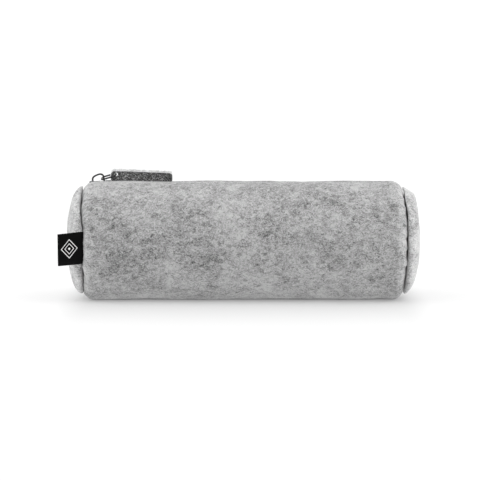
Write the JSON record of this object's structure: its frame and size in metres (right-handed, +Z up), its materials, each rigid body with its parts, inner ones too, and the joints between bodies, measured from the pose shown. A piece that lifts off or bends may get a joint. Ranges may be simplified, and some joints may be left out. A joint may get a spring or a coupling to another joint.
{
  "type": "soft glasses case",
  "caption": "Soft felt barrel pouch for glasses, zipped along its top, with domed end panels, a fold-over side label and a felt zip tab on a wire ring.",
  "frame": {"origin": "centre of the flat the barrel rests on, halfway between the end seams", "axes": "+X along the barrel from the closed end of the zip to its other end, -Y the side that faces the viewer, +Z up out of the zip"},
  "size_m": [0.2141, 0.0712, 0.0766],
  "materials": {
    "body_felt": "soft melange felt",
    "end_felt": "soft melange felt",
    "label_satin": "woven satin",
    "zip_tape": "woven tape",
    "zip_coil": "satin nylon",
    "zip_metal": "dark plated metal",
    "tab_charcoal_felt": "salt-and-pepper felt",
    "tab_grey_felt": "soft felt"
  },
  "bodies": {
    "pouch": {"body_panel_base": "body_felt", "end_panel_left": "end_felt", "end_panel_right": "end_felt", "side_label": "label_satin", "zip_tape_front_left": "zip_tape", "zip_tape_front_right": "zip_tape", "zip_tape_back_left": "zip_tape", "zip_tape_back_right": "zip_tape", "zip_coil_front_left": "zip_coil", "zip_coil_front_right": "zip_coil", "zip_coil_back_left": "zip_coil", "zip_coil_back_right": "zip_coil", "zip_top_stop_front": "zip_metal", "zip_top_stop_back": "zip_metal", "zip_bottom_stop": "zip_metal"},
    "front_lip": {"body_panel_front": "body_felt", "zip_tape_front": "zip_tape", "zip_coil_front": "zip_coil"},
    "back_lip": {"body_panel_back": "body_felt", "zip_tape_back": "zip_tape", "zip_coil_back": "zip_coil"},
    "zip_slider": {"slider_body": "zip_metal", "slider_bail": "zip_metal"},
    "puller_ring": {"puller_ring": "zip_metal"},
    "pull_tab": {"pull_tab_face": "tab_charcoal_felt", "pull_tab_backing": "tab_grey_felt"}
  },
  "joints": [
    {"name": "slider_slide", "type": "slide", "parent": "pouch", "child": "zip_slider", "axis": [1, 0, 0], "range_m": [0, 0.1695], "deforming": ["zip_tape_front", "zip_tape_back", "zip_coil_front", "zip_coil_back", "zip_coil_front_left", "zip_coil_back_left", "zip_coil_front_right", "zip_coil_back_right"]},
    {"name": "ring_flip", "type": "hinge", "parent": "zip_slider", "child": "puller_ring", "pos_m": [-0.0834, 0, 0.0707], "axis": [0, -0.9877, -0.1564], "range_deg": [0, 110]},
    {"name": "tab_swing", "type": "hinge", "parent": "puller_ring", "child": "pull_tab", "pos_m": [-0.07487, -0.0004, 0.0732], "axis": [0, -0.9877, -0.1564], "range_deg": [0, 75]},
    {"name": "front_lip_open", "type": "hinge", "parent": "pouch", "child": "front_lip", "pos_m": [0, -0.02517, 0.00921], "axis": [1, 0, 0], "range_deg": [0, 18], "stiffness_Nm_per_rad": 0.2},
    {"name": "back_lip_open", "type": "hinge", "parent": "pouch", "child": "back_lip", "pos_m": [0, 0.02517, 0.00921], "axis": [-1, 0, 0], "range_deg": [0, 18], "stiffness_Nm_per_rad": 0.2}
  ]
}
